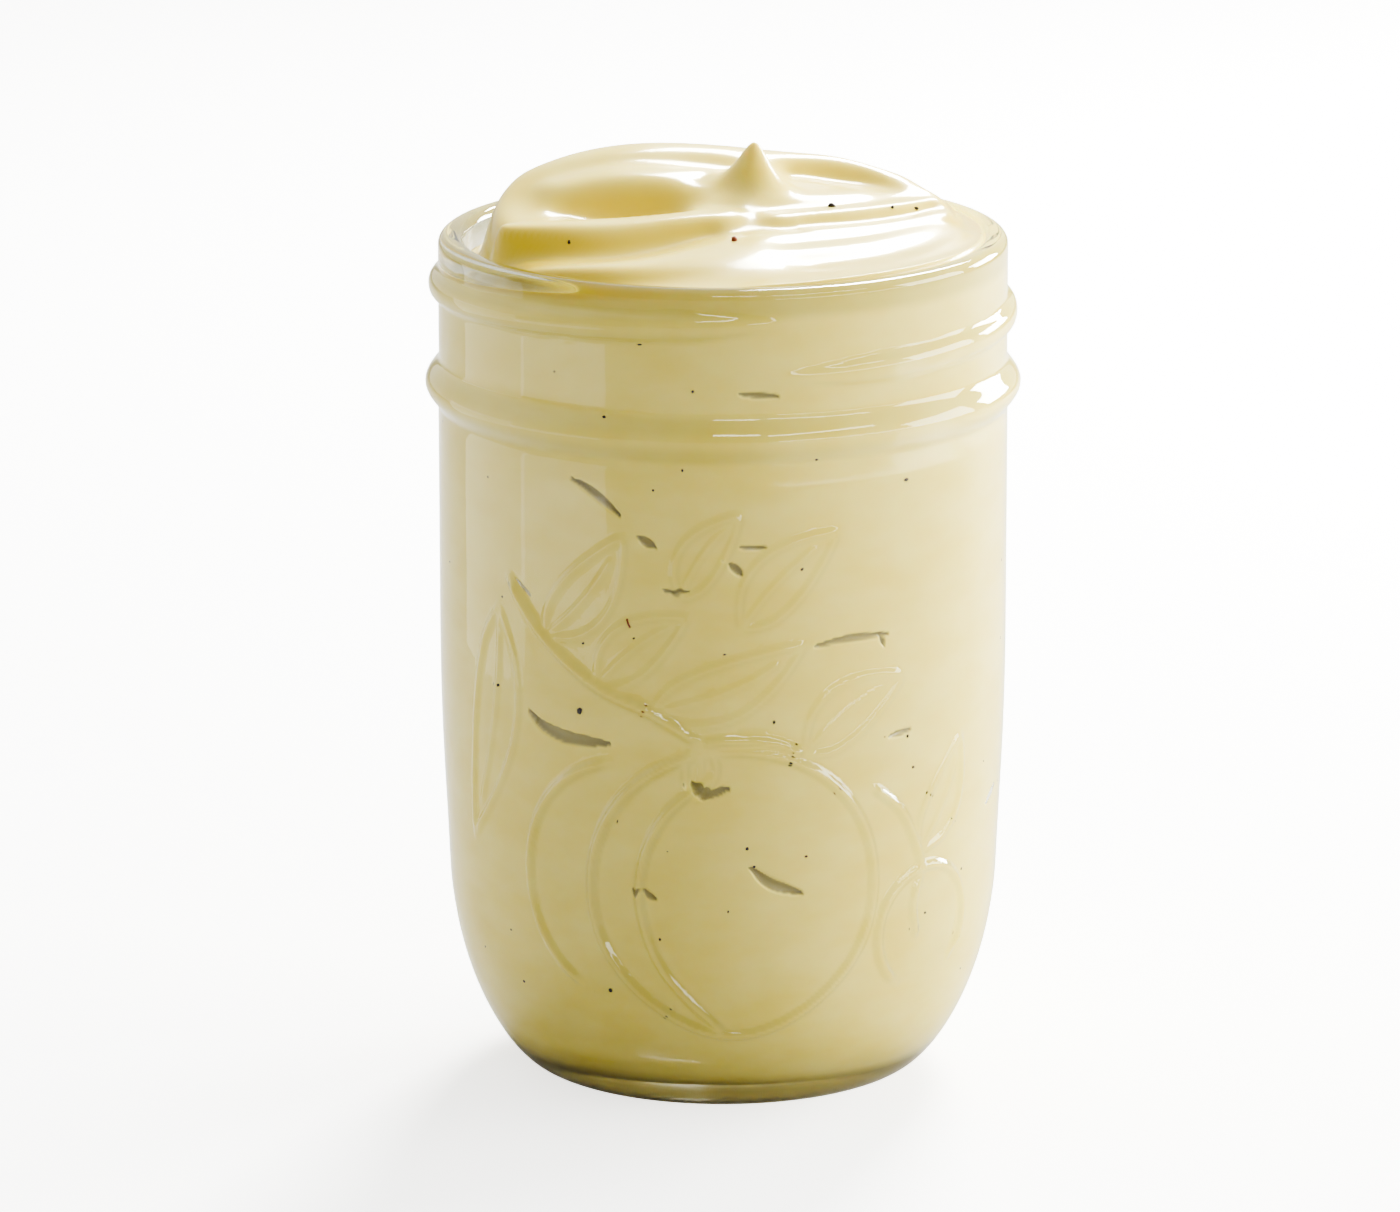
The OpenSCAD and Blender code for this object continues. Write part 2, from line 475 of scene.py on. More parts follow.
@dataclass(frozen=True)
class GlassFinish:
    """Clear moulded glass, a little green, with the slight waves that a mould leaves, tinted where it is
    thick, and darkened with painted shade on the foot, the rim, the ridge flanks and the fruit.
    """

    tint: Colour = (0.915, 0.918, 0.91)
    cloud_tint: Colour = (0.86, 0.872, 0.835)
    # partly the glass's own tint where it is thick at the rim, partly painted shade on the rim, the ridge
    # flanks and the fruit
    thickness_and_shade_tint: Colour = (0.42, 0.43, 0.28)
    # painted shade: a dark band on the foot, far darker than the glass's own tint
    foot_shade_tint: Colour = (0.11, 0.105, 0.075)
    refraction: float = 1.5
    polish: float = 0.015
    wave_size: float = 11.0
    wave_depth: float = 0.05
    ripple_size: float = 1.6
    ripple_depth: float = 0.003

    def material(self) -> bpy.types.Material:
        """Writes the glass as a material.

        Returns:
            The material, with its nodes.
        """
        made = bpy.data.materials.new("moulded_glass")
        book = NodeBook(made)
        waves = book.noise(self.wave_size, 1.0)
        ripples = book.noise(self.ripple_size, 2.0)
        height = waves * self.wave_depth + ripples * self.ripple_depth
        cloud = book.noise(7.0, 3.0)
        wall = book.blend(cloud, self.tint, self.cloud_tint)
        # darker where thick: partly the glass's own tint, partly painted shade
        thickness_and_shade = book.blend(book.attribute("thickness_and_shade"), wall, self.thickness_and_shade_tint)
        book.surface(
            {
                "Base Color": book.blend(book.attribute("foot"), thickness_and_shade, self.foot_shade_tint),
                "Roughness": cloud * 0.02 + self.polish,
                "IOR": self.refraction,
                "Transmission Weight": 1.0,
                "Normal": book.bump(height, 1.0),
            }
        )
        return made


@dataclass(frozen=True)
class MayonnaiseFinish:
    """Pale yellow paste with an oily gloss that light sinks into, its colour deepened with painted shade in
    its folds and hollows, in its air pockets and by the rim.
    """

    pale: Colour = (0.86, 0.735, 0.22)
    warm: Colour = (0.83, 0.688, 0.165)
    # painted shade: the colour deepens in the heap's folds and hollows and by the rim
    fold_shade: Colour = (0.66, 0.495, 0.05)
    # painted shade inside the air pockets
    pocket: Colour = (0.42, 0.35, 0.11)
    glow: float = 0.5
    glow_radius: Colour = (1.0, 0.75, 0.35)
    glow_scale: float = 1.2
    gloss: float = 0.26
    sheen: float = 0.15
    refraction: float = 1.42
    oil: float = 0.6
    oil_gloss: float = 0.12

    def material(self) -> bpy.types.Material:
        """Writes the mayonnaise as a material.

        Returns:
            The material, with its nodes.
        """
        made = bpy.data.materials.new("mayonnaise_paste")
        book = NodeBook(made)
        cloud = book.noise(9.0, 3.0, (1.0, 1.0, 2.0))
        fine = book.noise(2.6, 1.0)
        body = book.blend(book.ramp(cloud, [(0.35, 0.0), (0.7, 1.0)]), self.pale, self.warm)
        # painted shade in the folds and hollows
        folded = book.blend(book.attribute("fold_shade"), body, self.fold_shade)
        # painted shade darkens the air pockets
        pocket_shaded = book.blend(book.attribute("pocket"), folded, self.pocket)
        book.surface(
            {
                "Base Color": pocket_shaded,
                "Roughness": fine * 0.08 + self.gloss,
                "IOR": self.refraction,
                "Specular IOR Level": self.sheen,
                "Subsurface Weight": self.glow,
                "Subsurface Radius": self.glow_radius,
                "Subsurface Scale": self.glow_scale * MM,
                "Coat Weight": self.oil,
                "Coat Roughness": self.oil_gloss,
                "Normal": book.bump(fine, 0.02),
            }
        )
        return made


class SpeckKind(Enum):
    """Kinds of speck in the mayonnaise."""

    PEPPER = "pepper"
    PAPRIKA = "paprika"


@dataclass(frozen=True)
class SpeckFinish:
    """Dry ground spice."""

    dark: Colour
    light: Colour

    def material(self, name: str) -> bpy.types.Material:
        """Writes the spice as a material of that name.

        Args:
            name: The material's name.

        Returns:
            The material, with its nodes.
        """
        made = bpy.data.materials.new(name)
        book = NodeBook(made)
        grain = book.noise(0.25, 3.0)
        book.surface(
            {
                "Base Color": book.blend(grain, self.dark, self.light),
                "Roughness": grain * 0.3 + 0.5,
                "Normal": book.bump(grain, 0.05),
            }
        )
        return made


SPECK_FINISHES = {
    SpeckKind.PEPPER: SpeckFinish((0.012, 0.01, 0.008), (0.06, 0.045, 0.03)),
    SpeckKind.PAPRIKA: SpeckFinish((0.17, 0.035, 0.012), (0.3, 0.09, 0.03)),
}


@dataclass(frozen=True)
class FloorFinish:
    """Plain matt white studio paper that throws little light back at the jar."""

    seen: Colour = (0.95, 0.95, 0.945)
    thrown: Colour = (0.4, 0.4, 0.39)
    glow: Colour = (0.9, 0.9, 0.895)

    def material(self) -> bpy.types.Material:
        """Writes the paper as a material.

        Returns:
            The material, with its nodes.
        """
        made = bpy.data.materials.new("studio_paper")
        book = NodeBook(made)
        tooth = book.noise(1.5, 4.0)
        to_camera = book.node("ShaderNodeLightPath", {}, {}, "Is Camera Ray")
        book.surface(
            {
                "Base Color": book.blend(to_camera, self.thrown, self.seen),
                "Emission Color": book.blend(to_camera, (0.0, 0.0, 0.0), self.glow),
                "Emission Strength": 1.0,
                "Roughness": tooth * 0.1 + 0.6,
                "Specular IOR Level": 0.2,
                "Normal": book.bump(tooth, 0.02),
            }
        )
        return made


# --- The glass jar ------------------------------------------------------------------------------


@dataclass(frozen=True)
class JarSizes:
    """Sizes of the glass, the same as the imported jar's, and how finely its stretches are cut."""

    height: float = round(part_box("jar")[1].z * TO_MM, 3)
    ring_r: float = round(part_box("jar")[1].x * TO_MM, 2) - INSIDE_BOX
    ring_out: float = 1.6
    ring_h: float = 6.0
    ring_drop: float = 17.4
    neck_wall: float = 3.1
    body_wall: float = 2.6
    flank_in: float = 0.95
    heel_h: float = 24.0
    heel_handles: Point = (3.1, 14.0)
    flank_h: float = 30.0
    foot_r: float = 21.9
    foot_w: float = 3.4
    push_up: float = 1.2
    floor_t: float = 4.2
    lip_r: float = 1.2
    thread_pitch: float = 6.35
    thread_out: float = 1.15
    thread_w: float = 3.4
    thread_drop: float = 3.9
    thread_turns: float = 1.02
    thread_from: float = 8.0
    thread_fade: float = 26.0
    heel_rows: int = 30
    flank_rows: int = 32
    barrel_rows: int = 26
    ring_rows: int = 23
    neck_rows: int = 36
    inner_rows: int = 8

    @property
    def neck_r(self) -> float:
        """Radius of the neck between the thread and the ring, which is the body's too."""
        return self.ring_r - self.ring_out

    @property
    def mouth_r(self) -> float:
        """Radius of the mouth."""
        return self.neck_r - self.neck_wall

    @property
    def neck_z(self) -> float:
        """Height at which the neck starts."""
        return self.height - self.ring_drop - self.ring_h / 2

    @property
    def heel_r(self) -> float:
        """Radius at which the heel meets the flank."""
        return self.neck_r - self.flank_in

    def outer(self) -> list[Point]:
        """Outside profile from the foot ring to the top of the rim.

        Returns:
            Radius and height of each corner.
        """
        lean = self.flank_in
        heel = bezier(
            [
                (self.foot_r, 0.0),
                (self.foot_r + self.heel_handles[0], 0.0),
                (self.heel_r - lean / 2, self.heel_h - self.heel_handles[1]),
                (self.heel_r, self.heel_h),
            ],
            self.heel_rows,
        )
        flank = bezier(
            [
                (self.heel_r, self.heel_h),
                (self.heel_r + lean * 0.4, self.heel_h + self.flank_h / 3),
                (self.neck_r, self.heel_h + self.flank_h / 2),
                (self.neck_r, self.heel_h + self.flank_h),
            ],
            self.flank_rows,
        )
        barrel_top = self.neck_z - 1.0
        barrel = [
            (self.neck_r, z)
            for z in np.linspace(self.heel_h + self.flank_h, barrel_top, self.barrel_rows)
        ]
        ring = [
            (self.neck_r + self.ring_out * math.sin(math.pi * t) ** 1.5, self.neck_z + self.ring_h * t)
            for t in np.linspace(0.0, 1.0, self.ring_rows)
        ]
        neck = [
            (self.neck_r, z)
            for z in np.linspace(self.neck_z + self.ring_h, self.height - self.lip_r, self.neck_rows)
        ]
        lip = arc((self.neck_r - self.lip_r, self.height - self.lip_r), self.lip_r, 0, 90, 8)
        return heel + flank[1:] + barrel[1:] + ring + neck[1:] + lip[1:]

    def inner(self) -> list[Point]:
        """Inside profile from the top of the rim to the edge of the flat floor.

        Returns:
            Radius and height of each corner.
        """
        rows = self.inner_rows
        lip = arc((self.mouth_r + self.lip_r, self.height - self.lip_r), self.lip_r, 90, 180, rows)
        cavity_r = self.neck_r - self.body_wall
        neck_heights = np.linspace(self.height - self.lip_r, self.neck_z, rows)
        body_heights = np.linspace(self.neck_z - 3.0, self.heel_h + self.flank_h, rows)
        shoulder = [(self.mouth_r, z) for z in neck_heights] + [(cavity_r, z) for z in body_heights]
        inner_heel_r = self.heel_r - self.body_wall
        flank = bezier(
            [
                (cavity_r, self.heel_h + self.flank_h),
                (cavity_r, self.heel_h + self.flank_h / 2),
                (inner_heel_r + self.flank_in * 0.4, self.heel_h + self.flank_h / 3),
                (inner_heel_r, self.heel_h),
            ],
            rows,
        )
        heel = bezier(
            [
                (inner_heel_r, self.heel_h),
                (inner_heel_r - self.flank_in / 2, self.heel_h - self.heel_handles[1]),
                (self.foot_r + 2.0, self.floor_t),
                (self.foot_r - 3.0, self.floor_t),
            ],
            20,
        )
        return lip + shoulder[1:] + flank[1:] + heel[1:]

    def outer_r(self, z: np.ndarray) -> np.ndarray:
        """Outside radius at each height."""
        line = np.array(self.outer())
        return np.interp(z, line[:, 1], line[:, 0])

    def inner_r(self, z: np.ndarray) -> np.ndarray:
        """Inside radius at each height above the floor."""
        line = np.array(self.inner())[::-1]
        return np.interp(z, line[:, 1], line[:, 0])


@dataclass(frozen=True)
class Ridge:
    """A raised line on the glass, through points across and up the unrolled wall."""

    points: Sequence[Point]
    height: float = 0.55
    width: float = 1.35
    per_span: int = 8

    def line(self) -> np.ndarray:
        """The ridge's course as straight pieces."""
        return smooth_line(self.points, self.per_span)


def oval(
    middle: Point, across: float, up: float, start: float, end: float, tip: float = 0.0
) -> list[Point]:
    """Points of an oval fruit's outline.

    Args:
        middle: Place of the oval's middle.
        across: Half its width.
        up: Half its height.
        start: Angle at which it starts, clockwise from the top, in degrees.
        end: Angle at which it ends.
        tip: How far the bottom is drawn out to a point.

    Returns:
        Points along the outline.
    """
    count = max(4, round(abs(end - start) / 12))
    points = []
    for turn in np.radians(np.linspace(start, end, count + 1)):
        low = max(0.0, -math.cos(turn))
        narrow = 1.0 - tip * low**3
        drop = 4 * tip * low**6
        points.append(
            (middle[0] + across * narrow * math.sin(turn), middle[1] + up * math.cos(turn) - drop)
        )
    return points


def leaf(base: Point, tip: Point, width: float, bend: float = 0.0) -> list[Ridge]:
    """Outline and midrib of a pointed leaf.

    Args:
        base: Where its stalk joins.
        tip: Its pointed end.
        width: Its widest breadth.
        bend: How far its midrib bows to the left of the way to the tip.

    Returns:
        Three ridges: two sides and the midrib.
    """
    start, end = np.array(base), np.array(tip)
    way = end - start
    aside = np.array([-way[1], way[0]]) / np.linalg.norm(way)
    shares = np.linspace(0.0, 1.0, 7)

    def side(half: float) -> list[Point]:
        """Points of one line of the leaf, half a breadth off its middle.

        Args:
            half: How far off the midrib it swells, to the left of the way to the tip.

        Returns:
            Points from the stalk to the tip.
        """
        rows = []
        for share in shares:
            bow = bend * math.sin(math.pi * share)
            swell = half * math.sin(math.pi * share**0.8) ** 0.9
            rows.append(tuple(start + way * share + aside * (bow + swell)))
        return rows

    rib = side(0.0)[:-1]
    return [
        Ridge(side(width / 2), 0.36, 0.85, 3),
        Ridge(side(-width / 2), 0.36, 0.85, 3),
        Ridge(rib, 0.26, 0.75, 3),
    ]


@dataclass
class FruitSprig:
    """The raised sprig of fruit and leaves, on the front of the jar and again on its back."""

    plum: Point = (1.4, 28.4)
    plum_r: float = 17.3
    second: Point = (-9.8, 29.0)
    second_r: float = 15.2
    small: Point = (27.0, 21.8)
    small_r: float = 7.4
    swell: float = 0.35

    def ridges(self) -> list[Ridge]:
        """All raised lines of the sprig.

        Returns:
            The ridges of the fruit, the twigs and the leaves.
        """
        plum_top = (self.plum[0], self.plum[1] + self.plum_r)
        made = [
            Ridge(oval(self.plum, self.plum_r, self.plum_r, -10, 350, 0.1), 0.85, 1.0, 2),
            Ridge(
                [(-1.5, 42.5), (-6.5, 38.0), (-9.4, 32.0), (-9.6, 25.5), (-6.6, 18.2), (0.6, 10.6)],
                0.7, 0.95,
            ),
            Ridge(oval(self.second, self.second_r, self.second_r, -148, -14), 0.75, 0.95, 2),
            Ridge(oval(self.small, self.small_r, self.small_r, -150, 130), 0.7, 0.95, 2),
            Ridge([(26.0, 28.8), (24.6, 25.0), (25.2, 21.0)], 0.55, 0.85),
            Ridge([(-27.5, 63.5), (-22.0, 57.5), (-15.0, 52.6), (-8.4, 50.0), (-2.4, 46.6)], 0.9, 1.15),
            Ridge([(-2.4, 46.6), (1.8, 46.9), (6.0, 46.4), (9.4, 45.0)], 0.75, 1.0),
            Ridge([(plum_top[0] + 17, 40.0), (22.5, 36.5), (25.2, 31.5), (26.0, 28.8)], 0.7, 0.95),
        ]
        for base, tip, width, bend in (
            ((-15.0, 52.6), (-4.0, 61.5), 6.0, 0.8),
            ((-8.4, 50.0), (9.5, 58.0), 6.5, -1.2),
            ((-22.0, 57.5), (-11.5, 70.5), 6.5, -1.0),
            ((-2.4, 46.6), (-3.6, 39.6), 3.6, 0.4),
            ((9.4, 45.0), (22.5, 53.0), 6.5, 1.2),
            ((2.0, 60.0), (13.5, 71.0), 6.5, 1.0),
            ((-5.0, 63.5), (2.0, 73.5), 5.0, 0.8),
            ((-29.5, 60.0), (-36.0, 31.0), 8.0, 2.0),
            ((25.5, 31.0), (32.5, 44.0), 6.0, -1.0),
        ):
            made += leaf(base, tip, width, bend)
        return made

    def domes(self) -> list[tuple[Point, float]]:
        """Middle and radius of each fruit that swells out of the wall."""
        return [(self.plum, self.plum_r), (self.second, self.second_r), (self.small, self.small_r)]

    def fullness(self, across: np.ndarray, up: np.ndarray) -> np.ndarray:
        """Shows which points of the unrolled wall lie on a fruit, from 0 off it to 1 on it.

        Args:
            across: Distance round the wall from the sprig's middle line.
            up: Height above the ground.

        Returns:
            The share at each point.
        """
        full = np.zeros(across.shape)
        for middle, radius in self.domes():
            off = np.hypot(across - middle[0], up - middle[1])
            full = np.maximum(full, 1 - ease(radius - 1, radius, off))
        return full

    def heights(self, across: np.ndarray, up: np.ndarray) -> np.ndarray:
        """How far the glass is raised at points of the unrolled wall.

        Args:
            across: Distance round the wall from the sprig's middle line.
            up: Height above the ground.

        Returns:
            The relief's height at each point.
        """
        raised = np.zeros(across.shape)
        for middle, radius in self.domes():
            share = np.hypot(across - middle[0], up - middle[1]) / radius
            raised = np.maximum(raised, self.swell * np.clip(1 - share**2, 0.0, None) ** 0.7)
        ridged = np.zeros(across.shape)
        for ridge in self.ridges():
            line = ridge.line()
            gap, share = near_line(across, up, line)
            ends = ease(0.0, 0.06, share) * (1 - ease(0.94, 1.0, share))
            form = np.cos(np.clip(gap / ridge.width, 0.0, 1.0) * math.pi / 2) ** 2
            ridged = np.maximum(ridged, ridge.height * form * (0.35 + 0.65 * ends))
        return raised + ridged

    def near_ridges(self, across: np.ndarray, up: np.ndarray, reach: float) -> np.ndarray:
        """Whether points of the unrolled wall lie within reach of a raised line.

        Args:
            across: Distance round the wall from the sprig's middle line.
            up: Height above the ground.
            reach: How far beyond a line's edge still counts.

        Returns:
            True or false for each point.
        """
        near = np.zeros(across.shape, bool)
        for ridge in self.ridges():
            near |= near_line(across, up, ridge.line())[0] < ridge.width + reach
        return near


@dataclass
class GlassJar:
    """The jar: one closed shell of glass with its thread, ring, foot and raised sprig."""

    sizes: JarSizes = field(default_factory=JarSizes)
    sprig: FruitSprig = field(default_factory=FruitSprig)
    finish: GlassFinish = field(default_factory=GlassFinish)
    columns: int = 264
    relief_cuts: int = 2
    relief_from: float = 7.0
    relief_to: float = 77.0
    seam_h: float = 0.1
    seam_w: float = 0.3
    foot_shade: Point = (2.8, 4.8)
    rim_shade: Point = (4.0, 2.4)
    rim_share: float = 0.75
    # painted shade on the fruit and on the steep flanks of the ridges
    fruit_shade_share: float = 0.07
    steep_gain: float = 2.2
    steep_most: float = 0.42

    def profile(self) -> list[Point]:
        """The shell's whole profile, from under the base round to the inside floor.

        Returns:
            Radius and height of each corner.
        """
        s = self.sizes
        foot_in = s.foot_r - s.foot_w
        hollow = [(r, s.push_up) for r in np.linspace(0.0, foot_in - s.push_up, 8)]
        step = arc((foot_in - s.push_up, 0.0), s.push_up, 90, 0, 5)
        bearing = [(r, 0.0) for r in np.linspace(foot_in, s.foot_r, 4)]
        floor = [(r, s.floor_t) for r in np.linspace(s.foot_r - 3.0, 0.0, 8)]
        return hollow + step[1:] + bearing[1:] + s.outer()[1:] + s.inner()[1:] + floor[1:]

    def thread_height(self, angle: np.ndarray, z: np.ndarray) -> np.ndarray:
        """How far the screw thread stands out of the neck.

        Args:
            angle: Angles round the jar.
            z: Heights above the ground.

        Returns:
            The thread's height at each point.
        """
        s = self.sizes
        sweep = 360 * s.thread_turns
        end_z = s.height - s.thread_drop
        raised = np.zeros(z.shape)
        for lap in (0, 360):
            turned_by = (angle - s.thread_from) % 360 + lap
            inside = turned_by <= sweep
            fade = ease(0, s.thread_fade, turned_by) * ease(0, s.thread_fade, sweep - turned_by)
            middle = end_z - s.thread_pitch * (sweep - turned_by) / 360
            off = np.abs(z - middle) / (s.thread_w * 0.5 * (0.4 + 0.6 * fade))
            form = np.clip(1 - off**2.2, 0.0, None) ** 0.65
            raised = np.maximum(raised, np.where(inside, s.thread_out * fade * form, 0.0))
        return raised

    def relief(self, angle: np.ndarray, z: np.ndarray) -> np.ndarray:
        """Height of the sprig at angles round the jar, on its front and its back.

        Args:
            angle: Angles round the jar.
            z: Heights above the ground.

        Returns:
            The relief's height at each point.
        """
        across = self.across(angle)
        wall = ease(self.relief_from - 1, self.relief_from + 2, z)
        wall *= 1 - ease(self.relief_to - 2, self.relief_to, z)
        return self.sprig.heights(across, z) * wall

    def across(self, angle: np.ndarray) -> np.ndarray:
        """Distance round the wall from the nearer sprig's middle line."""
        folded = (angle + 90) % 180 - 90
        return np.radians(folded) * self.sizes.neck_r

    def steepness(self, piece: bpy.types.Object, z: np.ndarray) -> np.ndarray:
        """How far the outside leans away from the plain wall, as on the sides of a ridge, for painted shade
        on those flanks.

        Args:
            piece: The shaped glass.
            z: Heights of its vertices.

        Returns:
            0 on the plain wall to steep_most on steep ground.
        """
        rows = corners_of(piece)
        normals = np.empty(rows.size)
        piece.data.vertices.foreach_get("normal", normals)
        normals = normals.reshape(-1, 3)
        outward = rows[:, :2] / np.maximum(np.hypot(rows[:, 0], rows[:, 1]), 1e-6)[:, None]
        low_z = np.minimum(z, self.sizes.neck_z)
        lean = self.sizes.outer_r(low_z + 0.5) - self.sizes.outer_r(low_z - 0.5)
        lean = np.where(z < self.sizes.neck_z - 1, lean, 0.0)
        straight = (normals[:, :2] * outward).sum(axis=1) - normals[:, 2] * lean
        straight /= np.sqrt(1 + lean**2)
        return np.clip((1 - straight) * self.steep_gain, 0.0, self.steep_most)

    def build(self) -> bpy.types.Object:
        """Models the jar.

        Returns:
            The finished glass.
        """
        s = self.sizes
        piece = turned("glass_jar", self.profile(), self.columns)
        middles = face_centres(piece)
        radii = np.hypot(middles[:, 0], middles[:, 1])
        up = middles[:, 2]
        on_wall = (radii > s.outer_r(up) - 1.0) & (up > self.relief_from) & (up < self.relief_to)
        across = self.across(angle_round(middles[:, 0], middles[:, 1]))
        subdivide_faces(piece, on_wall & self.sprig.near_ridges(across, up, 0.3), self.relief_cuts)
        rows = corners_of(piece)
        radii = np.hypot(rows[:, 0], rows[:, 1])
        angle = angle_round(rows[:, 0], rows[:, 1])
        z = rows[:, 2]
        true_r = s.outer_r(z)
        outside = (radii > true_r - 0.5) & (z > self.relief_from) & (z < s.height - 0.3)
        off_seam = np.radians(np.abs(angle) - 90) * s.neck_r
        seam = self.seam_h * np.exp(-((off_seam / self.seam_w) ** 2)) * (z < s.neck_z)
        goal = true_r + self.relief(angle, z) + self.thread_height(angle, z) + seam
        scale = np.where(outside, goal / np.maximum(radii, 1e-6), 1.0)
        rows[:, :2] *= scale[:, None]
        place_corners(piece, rows)
        # painted shade: the glass darkens towards its foot
        write_attribute(piece, "foot", 1 - ease(*self.foot_shade, z))
        # the rim's tint: partly the thick glass's own, partly painted shade
        rim = self.rim_share * ease(s.height - self.rim_shade[0], s.height - self.rim_shade[1], z)
        fruit = self.fruit_shade_share * self.sprig.fullness(self.across(angle), z)
        # painted shade: the relief's steep flanks and its fruit are darkened
        raised = np.where(outside, self.steepness(piece, z) + fruit, 0.0)
        write_attribute(piece, "thickness_and_shade", np.maximum(rim, raised))
        finish_piece(piece, "jar", self.finish.material())
        piece.visible_shadow = False
        piece.visible_diffuse = False
        return piece


# --- The mayonnaise -----------------------------------------------------------------------------


@dataclass(frozen=True)
class SwirlLine:
    """A crest or a trough of the heap, through points of x, y and height above the rim."""

    points: Sequence[Point]
    softness: float = 1.0
    weight: float = 1.0


@dataclass
class Heap:
    """The heap's surface: crests and troughs that a spoon left, blended into one skin."""

    rim_z: float
    mouth_r: float
    tip: Point = (3.7, 0.0)
    tip_h: float = 5.6 - INSIDE_BOX
    tip_r: float = 2.7
    edge_drop: float = 1.25
    edge_tilt: float = 1.85
    edge_pull: float = 1.9

    def lines(self) -> list[SwirlLine]:
        """The crests and hollows that the spoon left.

        Returns:
            The lines that the surface is drawn towards.
        """
        return [
            # the lobe that folds over from the left, round the back, to the right
            SwirlLine(
                [(-25.0, -8.5, 3.1), (-24.8, -1.0, 4.3), (-20.5, 5.5, 7.2), (-11.5, 8.0, 8.8),
                 (-2.7, 9.5, 8.5), (6.5, 11.5, 7.3), (14.8, 12.5, 6.7), (20.6, 10.0, 5.2),
                 (23.5, 5.5, 3.8)],
                2.2, 2.2,
            ),
            # its belly
            SwirlLine([(-20.5, 0.5, 5.9), (-13.5, 1.8, 7.2), (-6.5, 2.4, 7.1), (-1.0, 4.0, 6.5)], 2.2, 1.8),
            # the hollow that it leaves on the left
            SwirlLine([(-18.5, -6.6, 3.0), (-15.0, -7.2, 2.0), (-10.0, -7.2, 1.7), (-5.5, -6.8, 2.8)], 1.0),
            # the crest in front of that hollow
            SwirlLine(
                [(-25.5, -10.5, 3.0), (-19.0, -10.8, 3.4), (-12.0, -10.3, 3.7), (-5.0, -9.3, 4.1),
                 (0.5, -7.5, 4.2)],
                0.6, 1.2,
            ),
            # the foot of the concave face in front of the crest
            SwirlLine(
                [(-25.0, -14.5, -0.6), (-19.0, -17.0, -0.1), (-12.0, -17.5, 0.1), (-6.0, -15.5, 0.9),
                 (-1.0, -13.0, 2.0)],
                1.4,
            ),
            # the low outer crest
            SwirlLine(
                [(-24.0, -17.5, -0.5), (-15.5, -20.8, 0.5), (-8.5, -20.2, 1.0), (-2.7, -17.5, 1.7),
                 (4.3, -13.0, 2.4), (9.0, -10.5, 2.3)],
                1.2,
            ),
            # the level ground round the tip
            SwirlLine([(1.0, -3.5, 4.7), (6.0, -3.0, 4.8), (11.0, -0.5, 4.7), (16.5, 3.0, 4.3)], 2.2, 1.2),
            SwirlLine([(-3.0, 0.5, 5.6), (1.5, 4.5, 5.9)], 2.2, 1.2),
            # the step on the right, and the groove below it
            SwirlLine([(5.5, -8.0, 3.8), (14.8, -4.0, 3.7), (20.5, 0.2, 3.5), (24.0, 4.5, 3.2)], 1.0, 1.1),
            SwirlLine([(9.5, -10.0, 2.5), (16.0, -6.6, 2.3), (21.5, -2.2, 2.2), (25.2, 2.0, 2.2)], 0.9),
            # the slope from there to the rim
            SwirlLine(
                [(7.0, -16.0, 1.6), (14.0, -12.5, 1.5), (20.0, -7.5, 1.5), (25.2, -2.0, 1.5)],
                2.4, 1.4,
            ),
            SwirlLine(
                [(10.0, -22.5, 0.2), (18.5, -18.0, 0.4), (25.0, -10.0, 0.6), (28.0, -2.0, 0.9)],
                2.0, 1.2,
            ),
            # the hollow behind the tip on the right
            SwirlLine([(8.5, 7.2, 5.0), (13.0, 8.0, 4.1), (17.0, 7.6, 3.7), (19.8, 5.5, 3.6)], 1.2),
            # the back: a terrace, and the groove above it
            SwirlLine(
                [(26.0, 8.0, 1.8), (20.0, 16.5, 2.4), (9.0, 22.0, 2.2), (-5.0, 22.5, 2.6),
                 (-16.0, 17.5, 2.8), (-23.5, 9.5, 1.8)],
                1.2,
            ),
            SwirlLine([(21.5, 13.5, 1.9), (9.0, 18.6, 2.2), (-5.0, 18.8, 3.2), (-14.0, 15.2, 3.3)], 1.2),
        ]

    def edge_level(self, x: np.ndarray, y: np.ndarray) -> np.ndarray:
        """Height above the rim at which the mayonnaise meets the glass, round the mouth.

        Args:
            x: Places across the mouth.
            y: Places from front to back.

        Returns:
            The level in the direction of each place.
        """
        turn = np.arctan2(y, x)
        waves = 0.35 * np.sin(turn) + 0.6 * np.cos(2 * turn)
        return self.edge_tilt * np.cos(turn) - self.edge_drop - waves

    def height(self, x: np.ndarray, y: np.ndarray) -> np.ndarray:
        """Height of the heap's surface.

        Args:
            x: Places across the mouth.
            y: Places from front to back.

        Returns:
            Heights above the ground.
        """
        total = np.zeros(x.shape)
        weights = np.zeros(x.shape)
        for line in self.lines():
            course = smooth_line(line.points, 6)
            steps = np.linalg.norm(np.diff(course[:, :2], axis=0), axis=1)
            middles = (course[1:] + course[:-1]) / 2
            for (px, py, pz), step in zip(middles, steps):
                gap = (x - px) ** 2 + (y - py) ** 2 + line.softness**2
                pull = line.weight * step / gap**2
                total += pull * pz
                weights += pull
        radius = np.hypot(x, y)
        gap = np.maximum(self.mouth_r - radius, 0.0)
        pull = self.edge_pull / (gap + 0.35) ** 3
        total += pull * self.edge_level(x, y)
        weights += pull
        smooth = total / weights
        off = np.hypot(x - self.tip[0], y - self.tip[1])
        return self.rim_z + smooth + self.tip_h * np.exp(-((off / self.tip_r) ** 1.7))


@dataclass(frozen=True)
class AirPocket:
    """A sliver of air between the mayonnaise and the glass."""

    points: Sequence[Point]
    width: float
    depth: float = 0.6


